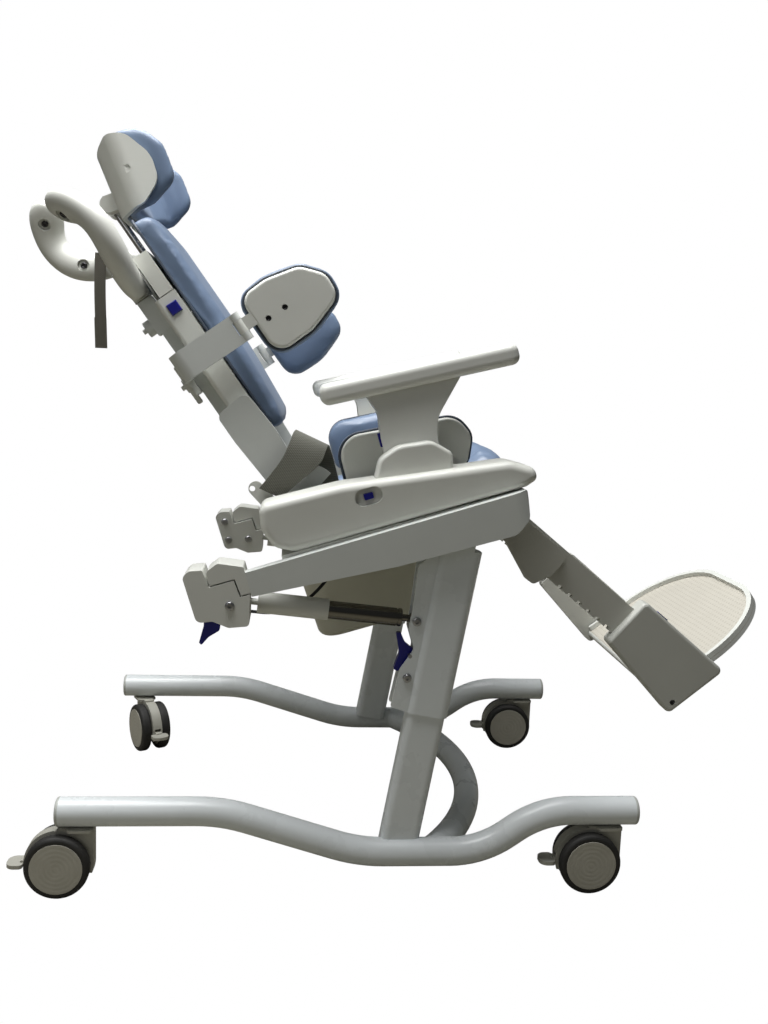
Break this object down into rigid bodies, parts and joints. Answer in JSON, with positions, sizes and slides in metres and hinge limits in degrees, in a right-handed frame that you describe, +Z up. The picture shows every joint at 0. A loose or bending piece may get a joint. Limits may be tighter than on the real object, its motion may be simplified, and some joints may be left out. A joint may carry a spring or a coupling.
{
  "type": "tilt-in-space commode chair",
  "caption": "Wheeled shower and commode chair with a tilting seat, reclining cushioned back, side and head supports, lifting arms, pan and raisable leg rest.",
  "frame": {"origin": "centre of the chair's plan box, on the floor under the tyres", "axes": "+X forward, the way the sitter faces; +Y to the sitter's left; +Z up"},
  "size_m": [1.3374, 0.698, 1.1794],
  "materials": {
    "base_paint": "satin powder coat",
    "frame_paint": "satin powder coat",
    "white_plastic": "fine moulded grain",
    "pan_plastic": "smooth moulded",
    "arm_foam": "integral foam skin",
    "grey_plastic": "moulded",
    "caster_plastic": "moulded",
    "caster_wheel": "rubber tyre on a moulded disc",
    "blue_plastic": "moulded",
    "blue_cushion": "coated foam skin",
    "beige_plastic": "moulded with a dotted tread",
    "steel": "zinc plated",
    "chrome_rod": "polished",
    "steel_tube": "ground tube",
    "black_rubber": "extruded",
    "strap_webbing": "woven tape"
  },
  "bodies": {
    "base": {"base_tubes": "base_paint", "lower_posts": "base_paint", "rail_end_caps": "grey_plastic"},
    "caster_rear_right": {"caster_fork_rear_right": "caster_plastic"},
    "wheels_rear_right": {"caster_wheels_rear_right": "caster_wheel"},
    "pedal_rear_right": {"caster_pedal_rear_right": "caster_plastic"},
    "caster_front_right": {"caster_fork_front_right": "caster_plastic"},
    "wheels_front_right": {"caster_wheels_front_right": "caster_wheel"},
    "pedal_front_right": {"caster_pedal_front_right": "caster_plastic"},
    "caster_rear_left": {"caster_fork_rear_left": "caster_plastic"},
    "wheels_rear_left": {"caster_wheels_rear_left": "caster_wheel"},
    "pedal_rear_left": {"caster_pedal_rear_left": "caster_plastic"},
    "caster_front_left": {"caster_fork_front_left": "caster_plastic"},
    "wheels_front_left": {"caster_wheels_front_left": "caster_wheel"},
    "pedal_front_left": {"caster_pedal_front_left": "caster_plastic"},
    "column": {"post_sleeves": "base_paint", "post_pins": "steel"},
    "height_levers": {"height_levers": "blue_plastic"},
    "gas_cylinders": {"gas_cylinders": "steel_tube"},
    "gas_shrouds": {"gas_shrouds": "white_plastic"},
    "seat": {"tilt_frame": "frame_paint", "rear_handle": "white_plastic", "frame_pins": "steel", "seat_shells": "white_plastic", "seat_deck": "white_plastic", "seat_pads": "blue_cushion", "hip_guide_shells": "white_plastic", "release_cable": "black_rubber", "hip_strap": "strap_webbing"},
    "tilt_trigger": {"tilt_trigger": "blue_plastic"},
    "seat_button_right": {"seat_button_right": "blue_plastic"},
    "seat_button_left": {"seat_button_left": "blue_plastic"},
    "commode_pan": {"commode_pan": "pan_plastic"},
    "arm_rest_right": {"arm_rest_right": "arm_foam"},
    "arm_rest_left": {"arm_rest_left": "arm_foam"},
    "arm_button_right": {"arm_button_right": "blue_plastic"},
    "arm_button_left": {"arm_button_left": "blue_plastic"},
    "back": {"back_frame": "frame_paint", "back_shell": "white_plastic", "back_pad": "blue_cushion"},
    "back_button": {"back_button": "blue_plastic"},
    "upper_back": {"upper_back": "white_plastic"},
    "lateral_arm_right": {"lateral_arm_right": "frame_paint"},
    "lateral_arm_left": {"lateral_arm_left": "frame_paint"},
    "lateral_support_right": {"lateral_shell_right": "white_plastic", "lateral_pad_right": "blue_cushion"},
    "lateral_support_left": {"lateral_shell_left": "white_plastic", "lateral_pad_left": "blue_cushion"},
    "lateral_knob_right": {"lateral_knob_right": "white_plastic"},
    "lateral_knob_left": {"lateral_knob_left": "white_plastic"},
    "head_stem": {"head_stem": "chrome_rod"},
    "headrest": {"headrest_shell": "white_plastic", "headrest_pad": "blue_cushion"},
    "push_handle_right": {"push_handle_right": "white_plastic"},
    "push_handle_left": {"push_handle_left": "white_plastic", "hanging_strap": "strap_webbing"},
    "leg_rest": {"leg_rest": "frame_paint"},
    "foot_brackets": {"foot_brackets": "white_plastic"},
    "foot_buttons": {"foot_buttons": "blue_plastic"},
    "footboard": {"footboard": "beige_plastic"}
  },
  "joints": [
    {"name": "swivel_rear_right", "type": "hinge", "parent": "base", "child": "caster_rear_right", "pos_m": [-0.47705, -0.313, 0], "axis": [0, 0, 1], "continuous": true},
    {"name": "roll_rear_right", "type": "hinge", "parent": "caster_rear_right", "child": "wheels_rear_right", "pos_m": [-0.51305, -0.313, 0.049], "axis": [0, 1, 0], "continuous": true},
    {"name": "brake_rear_right", "type": "hinge", "parent": "caster_rear_right", "child": "pedal_rear_right", "pos_m": [-0.55405, -0.313, 0.049], "axis": [0, -1, 0], "range_deg": [0, 10]},
    {"name": "swivel_front_right", "type": "hinge", "parent": "base", "child": "caster_front_right", "pos_m": [0.35095, -0.313, 0], "axis": [0, 0, 1], "continuous": true},
    {"name": "roll_front_right", "type": "hinge", "parent": "caster_front_right", "child": "wheels_front_right", "pos_m": [0.31495, -0.313, 0.049], "axis": [0, 1, 0], "continuous": true},
    {"name": "brake_front_right", "type": "hinge", "parent": "caster_front_right", "child": "pedal_front_right", "pos_m": [0.27395, -0.313, 0.049], "axis": [0, -1, 0], "range_deg": [0, 10]},
    {"name": "swivel_rear_left", "type": "hinge", "parent": "base", "child": "caster_rear_left", "pos_m": [-0.47705, 0.313, 0], "axis": [0, 0, 1], "continuous": true},
    {"name": "roll_rear_left", "type": "hinge", "parent": "caster_rear_left", "child": "wheels_rear_left", "pos_m": [-0.4607, 0.28092, 0.049], "axis": [-0.891, -0.454, 0], "continuous": true},
    {"name": "brake_rear_left", "type": "hinge", "parent": "caster_rear_left", "child": "pedal_rear_left", "pos_m": [-0.44209, 0.24439, 0.049], "axis": [0.891, 0.454, 0], "range_deg": [0, 10]},
    {"name": "swivel_front_left", "type": "hinge", "parent": "base", "child": "caster_front_left", "pos_m": [0.35095, 0.313, 0], "axis": [0, 0, 1], "continuous": true},
    {"name": "roll_front_left", "type": "hinge", "parent": "caster_front_left", "child": "wheels_front_left", "pos_m": [0.31495, 0.313, 0.049], "axis": [0, 1, 0], "continuous": true},
    {"name": "brake_front_left", "type": "hinge", "parent": "caster_front_left", "child": "pedal_front_left", "pos_m": [0.27395, 0.313, 0.049], "axis": [0, -1, 0], "range_deg": [0, 10]},
    {"name": "height", "type": "slide", "parent": "base", "child": "column", "axis": [0.1599, 0, 0.9871], "range_m": [-0.03, 0.09]},
    {"name": "height_lever_squeeze", "type": "hinge", "parent": "column", "child": "height_levers", "pos_m": [0.01504, 0, 0.37897], "axis": [0, -1, 0], "range_deg": [-12, 0], "stiffness_Nm_per_rad": 2},
    {"name": "tilt", "type": "hinge", "parent": "column", "child": "seat", "pos_m": [0.08595, 0, 0.575], "axis": [0, -1, 0], "range_deg": [-17, 8]},
    {"name": "gas_turn", "type": "hinge", "parent": "column", "child": "gas_cylinders", "pos_m": [0.02301, 0, 0.43441], "axis": [0, -1, 0], "range_deg": [-20, 10]},
    {"name": "gas_stroke", "type": "slide", "parent": "gas_cylinders", "child": "gas_shrouds", "axis": [-0.9956, 0, 0.0934], "range_m": [-0.022, 0.045]},
    {"name": "tilt_trigger_squeeze", "type": "hinge", "parent": "seat", "child": "tilt_trigger", "pos_m": [-0.28717, 0, 0.45465], "axis": [0, -1, 0], "range_deg": [0, 12], "stiffness_Nm_per_rad": 2},
    {"name": "seat_button_right_press", "type": "slide", "parent": "seat", "child": "seat_button_right", "axis": [0, 1, 0], "range_m": [0, 0.004], "stiffness_N_per_m": 800},
    {"name": "seat_button_left_press", "type": "slide", "parent": "seat", "child": "seat_button_left", "axis": [0, -1, 0], "range_m": [0, 0.004], "stiffness_N_per_m": 800},
    {"name": "pan_draw", "type": "slide", "parent": "seat", "child": "commode_pan", "axis": [-0.9563, 0, -0.2924], "range_m": [0, 0.25]},
    {"name": "arm_right_lift", "type": "slide", "parent": "seat", "child": "arm_rest_right", "axis": [-0.2924, 0, 0.9563], "range_m": [0, 0.06]},
    {"name": "arm_button_right_press", "type": "slide", "parent": "arm_rest_right", "child": "arm_button_right", "axis": [0.9563, 0, 0.2924], "range_m": [0, 0.003], "stiffness_N_per_m": 800},
    {"name": "arm_left_lift", "type": "slide", "parent": "seat", "child": "arm_rest_left", "axis": [-0.2924, 0, 0.9563], "range_m": [0, 0.025]},
    {"name": "arm_button_left_press", "type": "slide", "parent": "arm_rest_left", "child": "arm_button_left", "axis": [0.9563, 0, 0.2924], "range_m": [0, 0.003], "stiffness_N_per_m": 800},
    {"name": "recline", "type": "hinge", "parent": "seat", "child": "back", "pos_m": [-0.15305, 0, 0.6], "axis": [0, -1, 0], "range_deg": [-10, 20]},
    {"name": "back_button_press", "type": "slide", "parent": "back", "child": "back_button", "axis": [0, 1, 0], "range_m": [0, 0.003], "stiffness_N_per_m": 800},
    {"name": "upper_back_lift", "type": "slide", "parent": "back", "child": "upper_back", "axis": [-0.5878, 0, 0.809], "range_m": [0, 0.05]},
    {"name": "lateral_right_height", "type": "slide", "parent": "back", "child": "lateral_arm_right", "axis": [-0.5878, 0, 0.809], "range_m": [-0.03, 0.03]},
    {"name": "lateral_left_height", "type": "slide", "parent": "back", "child": "lateral_arm_left", "axis": [-0.5878, 0, 0.809], "range_m": [0, 0.06]},
    {"name": "lateral_right_swing", "type": "hinge", "parent": "lateral_arm_right", "child": "lateral_support_right", "pos_m": [-0.24262, -0.245, 0.85259], "axis": [0.5878, 0, -0.809], "range_deg": [0, 75]},
    {"name": "lateral_left_swing", "type": "hinge", "parent": "lateral_arm_left", "child": "lateral_support_left", "pos_m": [-0.21911, 0.245, 0.82023], "axis": [-0.5878, 0, 0.809], "range_deg": [0, 75]},
    {"name": "lateral_knob_right_turn", "type": "hinge", "parent": "lateral_arm_right", "child": "lateral_knob_right", "pos_m": [-0.30352, -0.163, 0.80711], "axis": [0.809, 0, 0.5878], "continuous": true},
    {"name": "lateral_knob_left_turn", "type": "hinge", "parent": "lateral_arm_left", "child": "lateral_knob_left", "pos_m": [-0.28001, 0.163, 0.77475], "axis": [0.809, 0, 0.5878], "continuous": true},
    {"name": "head_height", "type": "slide", "parent": "upper_back", "child": "head_stem", "axis": [-0.5878, 0, 0.809], "range_m": [0, 0.035]},
    {"name": "head_tilt", "type": "hinge", "parent": "head_stem", "child": "headrest", "pos_m": [-0.48992, 0, 1.07217], "axis": [0, -1, 0], "range_deg": [-5, 25]},
    {"name": "push_handle_right_turn", "type": "hinge", "parent": "back", "child": "push_handle_right", "pos_m": [-0.41136, -0.163, 0.9096], "axis": [-0.5878, 0, 0.809], "range_deg": [-80, 0]},
    {"name": "push_handle_left_turn", "type": "hinge", "parent": "back", "child": "push_handle_left", "pos_m": [-0.41136, 0.163, 0.9096], "axis": [-0.5878, 0, 0.809], "range_deg": [-60, 20]},
    {"name": "leg_raise", "type": "hinge", "parent": "seat", "child": "leg_rest", "pos_m": [0.16442, 0, 0.58853], "axis": [0, -1, 0], "range_deg": [-12, 40]},
    {"name": "foot_height", "type": "slide", "parent": "leg_rest", "child": "foot_brackets", "axis": [-0.7826, 0, 0.6225], "range_m": [-0.02, 0.05]},
    {"name": "foot_button_press", "type": "slide", "parent": "foot_brackets", "child": "foot_buttons", "axis": [-0.6225, 0, -0.7826], "range_m": [0, 0.003], "stiffness_N_per_m": 800},
    {"name": "footboard_flip", "type": "hinge", "parent": "foot_brackets", "child": "footboard", "pos_m": [0.46809, 0, 0.28437], "axis": [0, -1, 0], "range_deg": [0, 60]}
  ],
  "couplings": [
    {"joint": "gas_turn", "follows": "tilt", "ratio": 1.12},
    {"joint": "gas_stroke", "follows": "tilt", "m_per_rad": -0.148}
  ]
}
